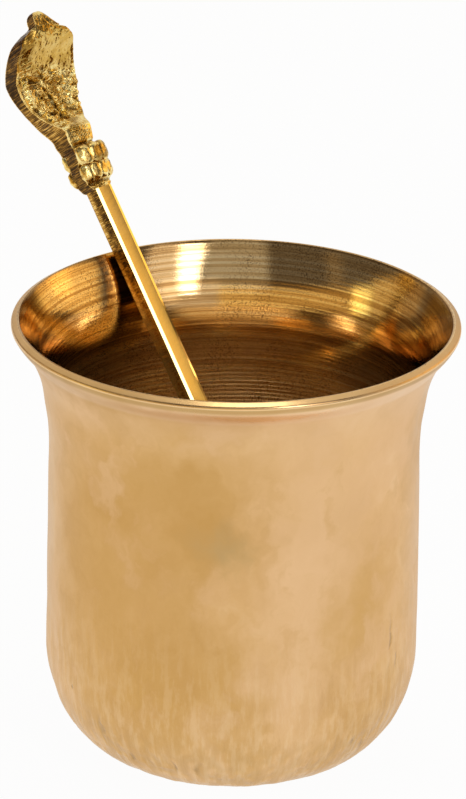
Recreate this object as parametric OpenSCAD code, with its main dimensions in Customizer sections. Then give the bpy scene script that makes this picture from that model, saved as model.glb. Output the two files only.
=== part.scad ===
// Brass offering tumbler with a hooded spoon leaning in it.
// Millimetres, +Z up. The tumbler stands on z = 0 with its axis on the Z axis.
// The spoon leans toward +Y, its bowl in the rounded corner and its shaft over the lip.

/* [Tumbler] */
// Outer diameter of the flared mouth
mouth_d = 76; // [72:0.5:84]
// Height from the foot to the top of the lip
tumbler_h = 78; // [72:0.5:90]
// Outer diameter at the neck, just under the flare
neck_d = 63.4; // [60:0.2:66]
// Outer diameter of the body above the rounded foot
body_d = 64.2; // [62:0.2:68]
// Diameter of the flat foot
foot_d = 38.8; // [36:0.2:44]
// Height of the flared mouth
flare_h = 18.9; // [15:0.1:24]
// Height of the rounded foot
foot_curve_h = 18.2; // [15:0.1:22]
// Wall thickness
wall_t = 1.5; // [1.2:0.1:1.8]
// Floor thickness
base_t = 1.8; // [1.4:0.1:2.6]
// Thickness of the rounded lip
lip_t = 1.9; // [1.8:0.1:2.6]
// Height of the brazed seam between the wall and the dished base
seam_h = 6; // [4:0.5:10]

/* [Spoon] */
// Outer diameter of the bowl's rim
bowl_d = 18; // [16:0.5:20]
// Outer depth of the bowl
bowl_depth = 6.5; // [5.5:0.1:7.5]
// Wall thickness of the bowl
bowl_wall = 0.9; // [0.7:0.1:1.2]
// Length from the bowl's tip to the foot of the finial
shaft_reach = 104.6; // [102:0.2:116]
// Width of the shaft under the finial
shaft_top_w = 3.5; // [3:0.1:3.8]
// Thickness of the shaft under the finial
shaft_top_t = 3.1; // [2.6:0.1:3.4]
// Width of the shaft at the bowl
shaft_low_w = 3.2; // [2.6:0.1:3.4]
// Thickness of the shaft at the bowl
shaft_low_t = 1.4; // [1.2:0.1:2]
// Diameter of the tang that enters the finial
tang_d = 1.8; // [1.4:0.1:2]
// Length of the tang
tang_len = 5; // [4:0.5:7]

/* [Finial] */
// Height of the finial above its foot
finial_h = 32.8; // [30:0.2:38]
// Depth of the finial from its back to the crest's front
finial_depth = 10.1; // [9.2:0.1:11.4]
// Greatest width of the hood
hood_w = 13.7; // [12:0.1:15]
// Greatest width of the petalled knop
knop_w = 6.5; // [6:0.1:7.2]
// Step of the finial's foot over the shaft
foot_step = 0.15; // [0.1:0.05:0.3]

/* [Resting place] */
// Sideways offset of the spoon from the tumbler's axis
spoon_offset = 6.4; // [4:0.2:8]
// Where the bowl's tip lies on the inside corner, degrees below level
rest_angle = 65; // [58:1:70]
// Air left between the spoon and the tumbler
rest_gap = 0.35; // [0.3:0.05:0.6]

/* [Hidden] */
$fn = 96;
brass = [0.79, 0.62, 0.36];
brass_bright = [0.83, 0.65, 0.33];

// Tumbler outline
foot_r = foot_d / 2;
body_r = body_d / 2;
neck_r = neck_d / 2;
neck_z = tumbler_h - flare_h;
corner_out_r = body_r - foot_r;
corner_in_r = corner_out_r - wall_t;
corner_in_h = foot_curve_h - base_t;
lip_r = mouth_d / 2 - lip_t / 2;
lip_z = tumbler_h - lip_t / 2;
// The flare is a round sweep whose middle passes through the lip's centre
flare_out = lip_r - neck_r;
flare_up = lip_z - neck_z;
flare_r = (flare_out * flare_out + flare_up * flare_up - wall_t * wall_t / 4)
    / (2 * flare_out + wall_t);
flare_end = asin(flare_up / (flare_r + wall_t / 2));
seam_out = asin((foot_curve_h - seam_h) / foot_curve_h);
seam_in = asin((foot_curve_h - seam_h) / corner_in_h);

// Spoon, in its own upright frame: +Z along the shaft, front toward -Y,
// bowl tip at z = 0
// Shares of the shaft's thickness: before its axis, and in the arch of its front
front_share = 0.555;
arch_share = 0.18;
shaft_front = front_share * shaft_top_t;
bowl_rim_y = -0.64 * shaft_low_t;
bowl_r = (bowl_d * bowl_d / 4 + bowl_depth * bowl_depth) / (2 * bowl_depth);
bowl_rise = bowl_r - bowl_depth;
bowl_rim_out = acos(bowl_rise / bowl_r);
bowl_rim_in = acos(bowl_rise / (bowl_r - bowl_wall));
// Thickness along the shaft: thin at the bowl, nearly full where it comes in sight
thickness_at = [
    [bowl_d - shaft_low_w, shaft_low_t],
    [0.62 * shaft_reach, 0.97 * shaft_top_t],
    [shaft_reach, shaft_top_t]
];
tang_y = shaft_top_t / 2 - shaft_front;

// Resting place: the tip lies off the inside corner, the shaft's back off the lip
corner_gap = 1.2 * rest_gap;
tip_r = foot_r + (corner_in_r - corner_gap) * cos(rest_angle);
tip_z = foot_curve_h - (corner_in_h - corner_gap) * sin(rest_angle);
tip_y = -sqrt(tip_r * tip_r - spoon_offset * spoon_offset);
cross_x = spoon_offset + shaft_top_w / 2;
cross_y = sqrt(lip_r * lip_r - cross_x * cross_x);
reach_y = cross_y - tip_y;
reach_z = lip_z - tip_z;
reach = sqrt(reach_y * reach_y + reach_z * reach_z);
cross_back = lookup(reach, thickness_at) * (1 - front_share);
stand_off = cross_back + lip_t / 2 + rest_gap - bowl_rim_y;
lip_lean = atan2(reach_y, reach_z) - asin(stand_off / reach);
// The shaft's back also stays off the curved inside of the flare under the lip
flare_leans = [
    for (i = [0 : 20])
        let (p = flare_end * i / 20, r = flare_r + wall_t)
        let (in_r = neck_r + flare_r - r * cos(p))
        let (y = sqrt(in_r * in_r - cross_x * cross_x) - tip_y)
        let (z = neck_z + r * sin(p) - tip_z)
        let (far = sqrt(y * y + z * z))
        let (off = lookup(far, thickness_at) * (1 - front_share) + rest_gap - bowl_rim_y)
        atan2(y, z) - asin(off / far)
];
lean = min(lip_lean, min(flare_leans));

// Finial outline, each row: height over the foot, front edge before the axis,
// thickness at the edges, width, bulge of the front, bulge of the back
outline = [
    [1.4, 1.4, 3.2, 4.1, 0.4, 0.2],
    [2.6, 1.3, 3.1, 5.5, 0.9, 0.6],
    [3.8, 1.5, 3.2, 6.5, 1.0, 0.8],
    [5.2, 1.6, 3.0, 6.5, 1.0, 0.8],
    [5.9, 1.5, 2.9, 6.1, 0.8, 0.5],
    [7.0, 2.2, 3.7, 6.4, 0.9, 0.6],
    [8.2, 2.0, 4.0, 6.0, 0.7, 0.4],
    [9.4, 1.5, 4.2, 5.0, 0.3, 0.2],
    [10.6, 1.5, 4.3, 5.6, 0.4, 0.2],
    [11.8, 1.8, 4.6, 5.8, 0.4, 0.2],
    [12.8, 1.8, 5.0, 6.0, 0.3, 0.2],
    [14.1, 0.7, 4.4, 7.0, 0.2, 0.2],
    [15.9, -0.5, 3.0, 9.3, -0.2, 0.3],
    [18.2, -1.3, 2.3, 11.2, -0.5, 0.5],
    [21.0, -1.0, 2.4, 13.3, -0.6, 0.6],
    [23.3, -0.3, 3.0, 13.7, -0.6, 0.6],
    [24.6, 0.6, 3.7, 13.3, -0.4, 0.5],
    [26.4, 2.3, 4.5, 12.6, -0.1, 0.4],
    [28.1, 4.2, 5.3, 11.5, 0.3, 0.3],
    [29.5, 5.0, 5.0, 10.0, 0.4, 0.2],
    [30.5, 5.5, 3.8, 7.6, 0.3, 0.1],
    [31.0, 5.7, 2.5, 5.0, 0.1, 0.1],
    [31.7, 5.9, 2.4, 4.9, 0.1, 0.1],
    [32.4, 5.8, 2.0, 4.4, 0.1, 0.1],
    [32.8, 5.4, 1.3, 3.2, 0.1, 0.1]
];
// Sizes of the outline as drawn above, and how far each is stretched
drawn_h = outline[len(outline) - 1][0];
drawn_front = max([for (row = outline) row[1] + max(row[4], 0)]);
drawn_back = max([for (row = outline) row[2] - row[1] + row[5]]);
hood_from = 0.4 * drawn_h;
height_k = finial_h / drawn_h;
depth_k = finial_depth / (drawn_front + drawn_back);
hood_k = hood_w / max([for (row = outline) if (row[0] > hood_from) row[3]]);
knop_k = knop_w / max([for (row = outline) if (row[0] < hood_from) row[3]]);
stations = concat(
    [[
        0,
        shaft_front + foot_step,
        shaft_top_t + 2 * foot_step,
        shaft_top_w + 2 * foot_step,
        foot_step,
        foot_step / 2
    ]],
    [
        for (row = outline)
            let (across = row[0] > hood_from ? hood_k : knop_k)
            [
                row[0] * height_k,
                row[1] * depth_k,
                row[2] * depth_k,
                row[3] * across,
                row[4] * depth_k,
                row[5] * depth_k
            ]
    ]
);

// A smooth value between stations i and i + 1 at share t
function smooth_between(list, i, t) =
    let (last = len(list) - 1)
    let (a = list[max(i - 1, 0)], b = list[i])
    let (c = list[min(i + 1, last)], d = list[min(i + 2, last)])
    b + t * ((c - a) / 2 + t * (a - 2.5 * b + 2 * c - d / 2 + t * (1.5 * (b - c) + (d - a) / 2)));

// One cross-section of the finial: flat filed sides, a bulged or hollow front,
// a bulged back
finial_points = 10;
function finial_section(st) = concat(
    [
        for (i = [0 : finial_points])
            let (u = 2 * i / finial_points - 1)
            [u * st[3] / 2, -st[1] - st[4] * (1 - u * u), shaft_reach + st[0]]
    ],
    [
        for (i = [finial_points : -1 : 0])
            let (u = 2 * i / finial_points - 1)
            [u * st[3] / 2, st[2] - st[1] + st[5] * (1 - u * u), shaft_reach + st[0]]
    ]
);

// One cross-section of the shaft: flat back and sides, arched front
shaft_points = 8;
function shaft_section(z, w, t) = concat(
    [[-w / 2, t * (1 - front_share), z]],
    [
        for (i = [0 : shaft_points])
            let (u = 2 * i / shaft_points - 1)
            [u * w / 2, t * (arch_share * u * u - front_share), z]
    ],
    [[w / 2, t * (1 - front_share), z]]
);

// A solid skinned over sections that all hold the same number of points
module skin(sections) {
    n = len(sections[0]);
    top = len(sections) - 1;
    polyhedron(
        points = [for (s = sections) each s],
        faces = concat(
            [[for (i = [0 : n - 1]) i]],
            [
                for (k = [0 : top - 1], i = [0 : n - 1])
                    [k * n + i, (k + 1) * n + i, k * n + (i + 1) % n]
            ],
            [
                for (k = [0 : top - 1], i = [0 : n - 1])
                    [k * n + (i + 1) % n, (k + 1) * n + i, (k + 1) * n + (i + 1) % n]
            ],
            [[for (i = [n - 1 : -1 : 0]) top * n + i]]
        ),
        convexity = 6
    );
}

module place_spoon() {
    translate([spoon_offset, tip_y, tip_z])
        rotate([-lean, 0, 0])
            translate([0, -bowl_rim_y, 0])
                children();
}

// Points down one side of the bowl, from the rim to the middle of its bottom
function bowl_side(r, rim) = [
    for (i = [0 : 12])
        let (p = rim * (1 - i / 12))
        [r * sin(p), bowl_rise - r * cos(p)]
];

module place_bowl() {
    translate([0, bowl_rim_y, bowl_d / 2])
        rotate([90, 0, 0])
            rotate_extrude()
                children();
}

module tumbler_wall() {
    color(brass)
        rotate_extrude() {
            polygon(concat(
                [
                    for (i = [0 : 8])
                        let (p = seam_out * (1 - i / 8))
                        [foot_r + corner_out_r * cos(p), foot_curve_h * (1 - sin(p))]
                ],
                [
                    for (i = [0 : 10])
                        let (p = flare_end * i / 10)
                        [neck_r + flare_r * (1 - cos(p)), neck_z + flare_r * sin(p)]
                ],
                [
                    for (i = [10 : -1 : 0])
                        let (p = flare_end * i / 10, r = flare_r + wall_t)
                        [neck_r + flare_r - r * cos(p), neck_z + r * sin(p)]
                ],
                [
                    for (i = [0 : 8])
                        let (p = seam_in * i / 8)
                        [foot_r + corner_in_r * cos(p), foot_curve_h - corner_in_h * sin(p)]
                ]
            ));
            translate([lip_r, lip_z]) circle(d = lip_t, $fn = 32);
        }
}

module tumbler_base() {
    color(brass)
        rotate_extrude()
            polygon(concat(
                [[0, 0]],
                [
                    for (i = [0 : 6])
                        let (p = 90 + (seam_out - 90) * i / 6)
                        [foot_r + corner_out_r * cos(p), foot_curve_h * (1 - sin(p))]
                ],
                [
                    for (i = [0 : 6])
                        let (p = seam_in + (90 - seam_in) * i / 6)
                        [foot_r + corner_in_r * cos(p), foot_curve_h - corner_in_h * sin(p)]
                ],
                [[0, base_t]]
            ));
}

module spoon_bowl() {
    color(brass_bright)
        place_spoon()
            place_bowl()
                polygon(concat(
                    bowl_side(bowl_r, bowl_rim_out),
                    [
                        for (i = [12 : -1 : 0])
                            bowl_side(bowl_r - bowl_wall, bowl_rim_in)[i]
                    ]
                ));
}

module spoon_shaft() {
    color(brass_bright)
        place_spoon()
            union() {
                difference() {
                    skin([
                        for (st = thickness_at)
                            let (share = (st[0] - bowl_d) / (shaft_reach - bowl_d))
                            shaft_section(
                                st[0],
                                shaft_low_w + (shaft_top_w - shaft_low_w) * share,
                                st[1]
                            )
                    ]);
                    place_bowl()
                        polygon(concat(
                            [[0, shaft_front], [bowl_d / 2, shaft_front]],
                            bowl_side(bowl_r, bowl_rim_out)
                        ));
                }
                translate([0, tang_y, shaft_reach - tang_d])
                    cylinder(d = tang_d, h = tang_len + tang_d, $fn = 32);
            }
}

module spoon_finial() {
    color(brass_bright)
        place_spoon()
            difference() {
                skin(concat(
                    [
                        for (i = [0 : len(stations) - 2], t = [0, 0.5])
                            finial_section(smooth_between(stations, i, t))
                    ],
                    [finial_section(stations[len(stations) - 1])]
                ));
                translate([0, tang_y, shaft_reach - tang_d])
                    cylinder(d = tang_d, h = tang_len + tang_d, $fn = 32);
            }
}

tumbler_wall();
tumbler_base();
spoon_bowl();
spoon_shaft();
spoon_finial();
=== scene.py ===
"""Looks of the brass offering tumbler and its hooded spoon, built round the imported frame.

Sizes are millimetres in the row frame until a mesh is made, and metres from there on.
"""

import math

import bpy
import numpy as np
from mathutils import Matrix, Vector


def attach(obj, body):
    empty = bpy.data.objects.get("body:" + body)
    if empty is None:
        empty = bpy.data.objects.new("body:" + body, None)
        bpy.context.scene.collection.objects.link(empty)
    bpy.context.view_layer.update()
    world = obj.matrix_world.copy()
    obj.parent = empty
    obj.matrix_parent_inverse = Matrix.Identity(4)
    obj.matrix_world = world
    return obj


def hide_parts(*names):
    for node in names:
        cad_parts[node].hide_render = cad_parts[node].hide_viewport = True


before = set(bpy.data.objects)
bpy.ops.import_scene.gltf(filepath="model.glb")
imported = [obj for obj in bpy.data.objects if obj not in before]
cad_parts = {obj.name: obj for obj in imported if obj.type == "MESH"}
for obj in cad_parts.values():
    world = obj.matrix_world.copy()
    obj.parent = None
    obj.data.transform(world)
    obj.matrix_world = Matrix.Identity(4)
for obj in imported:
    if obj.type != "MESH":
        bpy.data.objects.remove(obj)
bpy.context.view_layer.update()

# Metres in a millimetre
MM = 0.001

# Tumbler sizes, as in the part's source
MOUTH_R = 38.0
HEIGHT = 78.0
NECK_R = 31.7
BODY_R = 32.1
FOOT_R = 19.4
FLARE_H = 18.9
FOOT_CURVE_H = 18.2
WALL = 1.5
FLOOR = 1.8
LIP = 1.9
SEAM_H = 6.0

# Spoon sizes, as in the part's source
BOWL_D = 18.0
BOWL_DEPTH = 6.5
BOWL_WALL = 0.9
SHAFT_REACH = 104.6
SHAFT_TOP_W = 3.5
SHAFT_TOP_T = 3.1
SHAFT_LOW_W = 3.2
SHAFT_LOW_T = 1.4
# Shares of the shaft's thickness: before its axis, and in the arch of its front
FRONT_SHARE = 0.555
ARCH_SHARE = 0.18
# Length of shaft inside the finial's foot
FOOT_HIDDEN = 1.2
# Where the spoon rests: off to the side, degrees down the inside corner, and clear of the tumbler
SPOON_OFFSET = 6.4
REST_ANGLE = 65.0
REST_GAP = 0.35

# Finial rows: height over the foot, front edge, edge thickness, width, front bulge, back bulge
# From the foot up they are the knop to 10, the pad to 14, the hood to 23, the dome to 30 and the crest
FINIAL_ROWS = (
    (1.4, 1.4, 3.2, 4.1, 0.4, 0.2),
    (2.6, 1.3, 3.1, 5.5, 0.9, 0.6),
    (3.8, 1.5, 3.2, 6.5, 1.0, 0.8),
    (5.2, 1.6, 3.0, 6.5, 1.0, 0.8),
    (5.9, 1.5, 2.9, 6.1, 0.8, 0.5),
    (7.0, 2.2, 3.7, 6.4, 0.9, 0.6),
    (8.2, 2.0, 4.0, 6.0, 0.7, 0.4),
    (9.4, 1.5, 4.2, 5.0, 0.3, 0.2),
    (10.6, 1.5, 4.3, 5.6, 0.4, 0.2),
    (11.8, 1.8, 4.6, 5.8, 0.4, 0.2),
    (12.8, 1.8, 5.0, 6.0, 0.3, 0.2),
    (14.1, 0.7, 4.4, 7.0, 0.2, 0.2),
    (15.9, -0.5, 3.0, 9.3, -0.2, 0.3),
    (18.2, -1.3, 2.3, 11.2, -0.5, 0.5),
    (21.0, -1.0, 2.4, 13.3, -0.6, 0.6),
    (23.3, -0.3, 3.0, 13.7, -0.6, 0.6),
    (24.6, 0.6, 3.7, 13.3, -0.4, 0.5),
    (26.4, 2.3, 4.5, 12.6, -0.1, 0.4),
    (28.1, 4.2, 5.3, 11.5, 0.3, 0.3),
    (29.5, 5.0, 5.0, 10.0, 0.4, 0.2),
    (30.5, 5.5, 3.8, 7.6, 0.3, 0.1),
    (31.0, 5.7, 2.5, 5.0, 0.1, 0.1),
    (31.7, 5.9, 2.4, 4.9, 0.1, 0.1),
    (32.4, 5.8, 2.0, 4.4, 0.1, 0.1),
    (32.8, 5.4, 1.3, 3.2, 0.1, 0.1),
)
# How far the finial's hidden first rows lie inside the shaft's outline
FOOT_INSET = 0.3
# Height over the foot from which the crest rises
CREST_FOOT = 30.4
# Punched dots on the finial's pad
DOT_PITCH = 0.74
# Petals of the knop: height over the foot, places across the width, size
PETAL_ROWS = (
    (4.2, (-0.72, -0.26, 0.24, 0.68), 0.92),
    (7.2, (-0.62, 0.02, 0.62), 1.05),
)
# How deep each petal's middle is set into the knop, and its tilt in degrees
PETAL_SUNK = 0.12
PETAL_TILT = 8.0

# Worked-out sizes of the spoon and of the flare's round sweep
SHAFT_FRONT = FRONT_SHARE * SHAFT_TOP_T
BOWL_RIM_Y = -0.64 * SHAFT_LOW_T
LIP_R = MOUTH_R - LIP / 2
LIP_Z = HEIGHT - LIP / 2
NECK_Z = HEIGHT - FLARE_H
FLARE_OUT = LIP_R - NECK_R
FLARE_UP = LIP_Z - NECK_Z
SWEEP = (FLARE_OUT**2 + FLARE_UP**2 - WALL**2 / 4) / (2 * FLARE_OUT + WALL)
SWEEP_END = math.asin(FLARE_UP / (SWEEP + WALL / 2))
# Rounding of the lip's outer and inner edge, and the way its slanting top faces
LIP_OUT_R = 0.6
LIP_IN_R = 0.35
LIP_FACES = math.radians(58.0)
# How far the outer edge's rounding runs on below level, and how far the inner edge lies under the top
LIP_TURN_OUT = math.radians(25.0)
LIP_IN_DROP = 0.2
# Share of the flare's outside after which it swells out to the lip
LIP_BLEND = 0.74

# Points round the tumbler and the bowl, and the radius of the smallest ring round the tumbler's poles
TUMBLER_SEGMENTS = 420
BOWL_SEGMENTS = 120
POLE_R = 0.6
# Depths of the tumbler's dents, hammer blows and scrapes, in metres
SKIN_DEPTHS = {"Dent depth": 0.0006, "Hammer depth": 0.0003, "Scrape depth": 0.00013}
# Step of the lathe's tool along the inside, in metres
LATHE_STEP = 0.00075

# Shaft section: where its front bevels begin, and how deep the left and right bevels go
BEVEL_FROM = 0.70
LEFT_BEVEL = 0.46 * ARCH_SHARE
RIGHT_BEVEL = 0.24 * ARCH_SHARE
# Bulge of each filed side, as a share of the half width
SIDE_BULGE = 0.15

# Braze between bowl and shaft: half width, half depth, half height
BRAZE_SIZE = (1.75, 0.75, 1.5)
# Its middle, up from the bowl's edge and along Y, and how far its poles lie above and below that
BRAZE_UP = 0.35
BRAZE_Y = -0.35
BRAZE_POLE = 1.45

# Camera, found from the photographed outlines of the mouth, body and foot
# Angles are degrees, far and aim metres, lens and sensor millimetres, the rest pixels of the photograph
CAMERA_TURN = -45.0
CAMERA_RISE = 21.88
CAMERA_ROLL = 0.85
CAMERA_FAR = 0.760
CAMERA_AIM_Z = 0.078
CAMERA_LENS = 202.94
CAMERA_SENSOR = 36.0
FOCAL_PIXELS = 4504.0
PIXELS_DOWN = 83.7
PIXELS_ASIDE = 2.2

# Room: its walls in front and behind, its bright ceiling, and the ceiling's middle as degrees round and up
FRONT_WALLS = (0.13, 0.11, 0.088)
BACK_WALLS = (0.17, 0.095, 0.026)
CEILING = (0.84, 0.81, 0.77)
CEILING_WAY = (180.0, 50.0)
# Lit panels: degrees right of the camera and up, half width, half height, soft edge, colour
ROOM_PANELS = (
    (0.0, 40.0, 17.0, 17.0, 5.0, (0.27, 0.26, 0.23)),
    (29.0, 10.0, 15.0, 13.0, 6.0, (0.42, 0.34, 0.26)),
    (47.0, 34.0, 9.0, 18.0, 4.0, (0.70, 0.60, 0.50)),
    (-34.0, 8.0, 43.0, 13.0, 3.5, (0.52, 0.34, 0.09)),
    (-1.0, 8.0, 9.0, 13.0, 6.0, (0.10, 0.09, 0.05)),
    (-80.0, 8.0, 4.0, 13.0, 4.0, (1.34, 1.18, 0.47)),
    (-98.0, 16.0, 9.0, 9.0, 5.0, (0.48, 0.33, 0.10)),
    (-62.0, 34.0, 3.0, 10.0, 3.0, (0.10, 0.07, 0.03)),
    (-112.0, 12.0, 6.0, 6.0, 10.0, (0.26, 0.15, 0.03)),
    (111.0, 17.0, 18.0, 13.0, 9.0, (0.88, 0.57, 0.18)),
    (116.0, 23.0, 5.0, 6.0, 5.0, (0.90, 0.55, 0.15)),
)
# Lamps: how far off they stand, and the height they are aimed at, in metres
LAMP_FAR = 1.1
LAMP_AIM_Z = 0.07
# Floor: half its width, and how far it lies under the tumbler so that the two don't flicker, in metres
PAPER_HALF = 4.0
PAPER_DROP = 0.0001


# Small helpers for numbers


def ease(value, low, high):
    """0 below low, 1 above high, smooth between."""
    t = np.clip((value - low) / (high - low), 0.0, 1.0)
    return t * t * (3.0 - 2.0 * t)


def bump(value, middle, width):
    """A soft hill of height 1."""
    return np.exp(-(((value - middle) / width) ** 2))


def lattice(ix, iy, iz, seed):
    """A fixed value from 0 to 1 for each whole-number point."""
    h = (ix * 374761393 + iy * 668265263 + iz * 1274126177 + seed * 974634599) & 0xFFFFFFFF
    h = ((h ^ (h >> 13)) * 1274126177) & 0xFFFFFFFF
    return ((h ^ (h >> 16)) & 0xFFFF) / 65535.0


def grain(x, y, z, size, seed):
    """Smooth noise from -1 to 1 whose grains are about size wide."""
    x, y, z = np.broadcast_arrays(*(np.asarray(v, float) / size for v in (x, y, z)))
    ix, iy, iz = (np.floor(v).astype(np.int64) for v in (x, y, z))
    fx, fy, fz = (f * f * (3.0 - 2.0 * f) for f in (x - ix, y - iy, z - iz))
    total = 0.0
    for dx, dy, dz in np.ndindex(2, 2, 2):
        share = (fx if dx else 1.0 - fx) * (fy if dy else 1.0 - fy) * (fz if dz else 1.0 - fz)
        total = total + share * lattice(ix + dx, iy + dy, iz + dz, seed)
    return 2.0 * total - 1.0


def photo_way(azimuth, elevation):
    """A direction in the row frame from degrees right of the camera and degrees up."""
    a, e = math.radians(azimuth + CAMERA_TURN), math.radians(elevation)
    return Vector((math.sin(a) * math.cos(e), -math.cos(a) * math.cos(e), math.sin(e)))


# Small helpers for meshes


def turned_points(outline, segments):
    """Turns (radius, height) points into rings."""
    turn = np.linspace(0.0, 2 * math.pi, segments, endpoint=False)
    r, z = np.array(outline).T[:, :, None]
    return np.stack(np.broadcast_arrays(r * np.cos(turn), r * np.sin(turn), z), -1).reshape(-1, 3)


def ring_faces(rows, cols, close_rows):
    """Quads of a grid whose columns run round in a ring."""
    r = np.arange(rows if close_rows else rows - 1)[:, None]
    c = np.arange(cols)[None, :]
    up, along = (r + 1) % rows, (c + 1) % cols
    corners = (r * cols + c, r * cols + along, up * cols + along, up * cols + c)
    return np.stack(np.broadcast_arrays(*corners), -1).reshape(-1, 4)


def fan_faces(cols, row_start, pole, turned):
    """Triangles from one ring of a grid to a single point."""
    c = np.arange(cols)
    ring, following = row_start + c, row_start + (c + 1) % cols
    ends = (following, ring) if turned else (ring, following)
    return np.stack(ends + (np.full(cols, pole),), -1)


def capped(points, cols, poles=None, zones=0, last_zone=0):
    """Rings of points closed by a pole at each end, with their (faces, material number) sets."""
    rows, count = len(points) // cols, len(points)
    if poles is None:
        poles = [points[:cols].mean(0), points[-cols:].mean(0)]
    face_sets = [
        (ring_faces(rows, cols, False), zones),
        (fan_faces(cols, 0, count, True), 0),
        (fan_faces(cols, count - cols, count + 1, False), last_zone),
    ]
    return np.concatenate((points, poles)), face_sets


def make_piece(name, points, face_sets, materials):
    """A mesh object from points in millimetres and (faces, material number) sets, faces outward."""
    faces, numbers = [], []
    volume = 0.0
    for quads, number in face_sets:
        faces += quads.tolist()
        numbers += list(number) if np.ndim(number) else [number] * len(quads)
        for k in range(1, quads.shape[1] - 1):
            a, b, c = points[quads[:, 0]], points[quads[:, k]], points[quads[:, k + 1]]
            volume += np.einsum("ij,ij->", a, np.cross(b, c))
    if volume < 0:
        faces = [face[::-1] for face in faces]
    mesh = bpy.data.meshes.new(name)
    mesh.from_pydata((points * MM).tolist(), [], faces)
    for material in materials:
        mesh.materials.append(material)
    mesh.polygons.foreach_set("material_index", numbers)
    mesh.polygons.foreach_set("use_smooth", [True] * len(faces))
    mesh.update()
    piece = bpy.data.objects.new(name, mesh)
    bpy.context.scene.collection.objects.link(piece)
    return piece


def point_values(piece, name, values, kind="FLOAT"):
    """Stores one value for each point of a piece."""
    layer = piece.data.attributes.new(name, kind, "POINT")
    layer.data.foreach_set("value" if kind == "FLOAT" else "vector", np.ravel(values).astype(np.float32))


def with_poles(values, at_poles=0.0):
    """Values of a grid of points in a row, with one more for each of the two poles."""
    return np.concatenate((np.ravel(values), (at_poles, at_poles)))


def sharpen(piece, degrees):
    """Edges that turn by more than this stay crisp."""
    piece.data.set_sharp_from_angle(angle=math.radians(degrees))


# Small helpers for node trees


def add_node(tree, kind, inputs=None, **settings):
    """Adds a node, with its settings, and its inputs as values or as sockets to link from."""
    made = tree.nodes.new(kind)
    for key, value in settings.items():
        setattr(made, key, value)
    for key, value in (inputs or {}).items():
        if isinstance(value, bpy.types.NodeSocket):
            tree.links.new(value, made.inputs[key])
        else:
            made.inputs[key].default_value = value
    return made


def maths(tree, operation, a, b=0.0, c=0.0):
    """A sum on up to three values."""
    return add_node(tree, "ShaderNodeMath", {0: a, 1: b, 2: c}, operation=operation).outputs[0]


def times(tree, a, b):
    """The product of two values."""
    return maths(tree, "MULTIPLY", a, b)


def vectors(tree, operation, a, b=(0.0, 0.0, 0.0)):
    """A sum on two vectors, on a vector and a number for SCALE, or on one vector for LENGTH."""
    second = "Scale" if operation == "SCALE" else 1
    made = add_node(tree, "ShaderNodeVectorMath", {0: a, second: b}, operation=operation)
    return made.outputs["Value" if operation in ("DOT_PRODUCT", "LENGTH") else "Vector"]


def upright(tree, vector):
    """The Z part of a vector."""
    return add_node(tree, "ShaderNodeSeparateXYZ", {0: vector}).outputs["Z"]


def spread(tree, value, low, high, out_low=0.0, out_high=1.0):
    """Maps low..high to out_low..out_high, held at the ends."""
    made = add_node(
        tree,
        "ShaderNodeMapRange",
        {"Value": value, "From Min": low, "From Max": high, "To Min": out_low, "To Max": out_high},
        interpolation_type="SMOOTHSTEP",
    )
    return made.outputs["Result"]


def band(tree, value, low, low_full, high_full, high):
    """1 from low_full to high_full, 0 below low and above high."""
    return times(tree, spread(tree, value, low, low_full), spread(tree, value, high, high_full))


def new_tree(name, sockets):
    """A Geometry Nodes tree with a geometry in and out, and these named inputs."""
    tree = bpy.data.node_groups.new(name, "GeometryNodeTree")
    tree.interface.new_socket("Geometry", in_out="INPUT", socket_type="NodeSocketGeometry")
    for label, kind, value in sockets:
        made = tree.interface.new_socket(label, in_out="INPUT", socket_type=kind)
        if value is not None:
            made.default_value = value
    tree.interface.new_socket("Geometry", in_out="OUTPUT", socket_type="NodeSocketGeometry")
    return tree, tree.nodes.new("NodeGroupInput").outputs, tree.nodes.new("NodeGroupOutput").inputs


def stored(tree, name, kind="FLOAT"):
    """A point value, read inside a Geometry Nodes tree."""
    return add_node(tree, "GeometryNodeInputNamedAttribute", {"Name": name}, data_type=kind).outputs[0]


def shifted(tree, geometry, distance):
    """A geometry with each point moved along the way it faces."""
    facing = add_node(tree, "GeometryNodeInputNormal").outputs[0]
    offset = vectors(tree, "SCALE", facing, distance)
    return add_node(tree, "GeometryNodeSetPosition", {"Geometry": geometry, "Offset": offset}).outputs[0]


def grow(piece, tree, values):
    """Runs a tree on a piece and keeps the result as a plain mesh."""
    modifier = piece.modifiers.new(tree.name, "NODES")
    modifier.node_group = tree
    for item in tree.interface.items_tree:
        if item.in_out == "INPUT" and item.name in values:
            modifier[item.identifier] = values[item.name]
    depsgraph = bpy.context.evaluated_depsgraph_get()
    mesh = bpy.data.meshes.new_from_object(
        piece.evaluated_get(depsgraph), preserve_all_data_layers=True, depsgraph=depsgraph
    )
    mesh.name = piece.name
    piece.modifiers.clear()
    piece.data = mesh


# Brass finishes


def brass(name, colour, roughness):
    """An all-metal material; returns it with its tree and shader."""
    material = bpy.data.materials.new(name)
    material.use_nodes = True
    tree = material.node_tree
    shader = tree.nodes["Principled BSDF"]
    shader.inputs["Metallic"].default_value = 1.0
    shader.inputs["Base Color"].default_value = (*colour, 1.0)
    shader.inputs["Roughness"].default_value = roughness
    return material, tree, shader


def object_place(tree):
    """Place on a piece in its own coordinates."""
    return add_node(tree, "ShaderNodeTexCoord").outputs["Object"]


def marked(tree, name, output="Fac"):
    """A point value of the piece, stored under a name."""
    return add_node(tree, "ShaderNodeAttribute", attribute_name=name).outputs[output]


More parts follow.
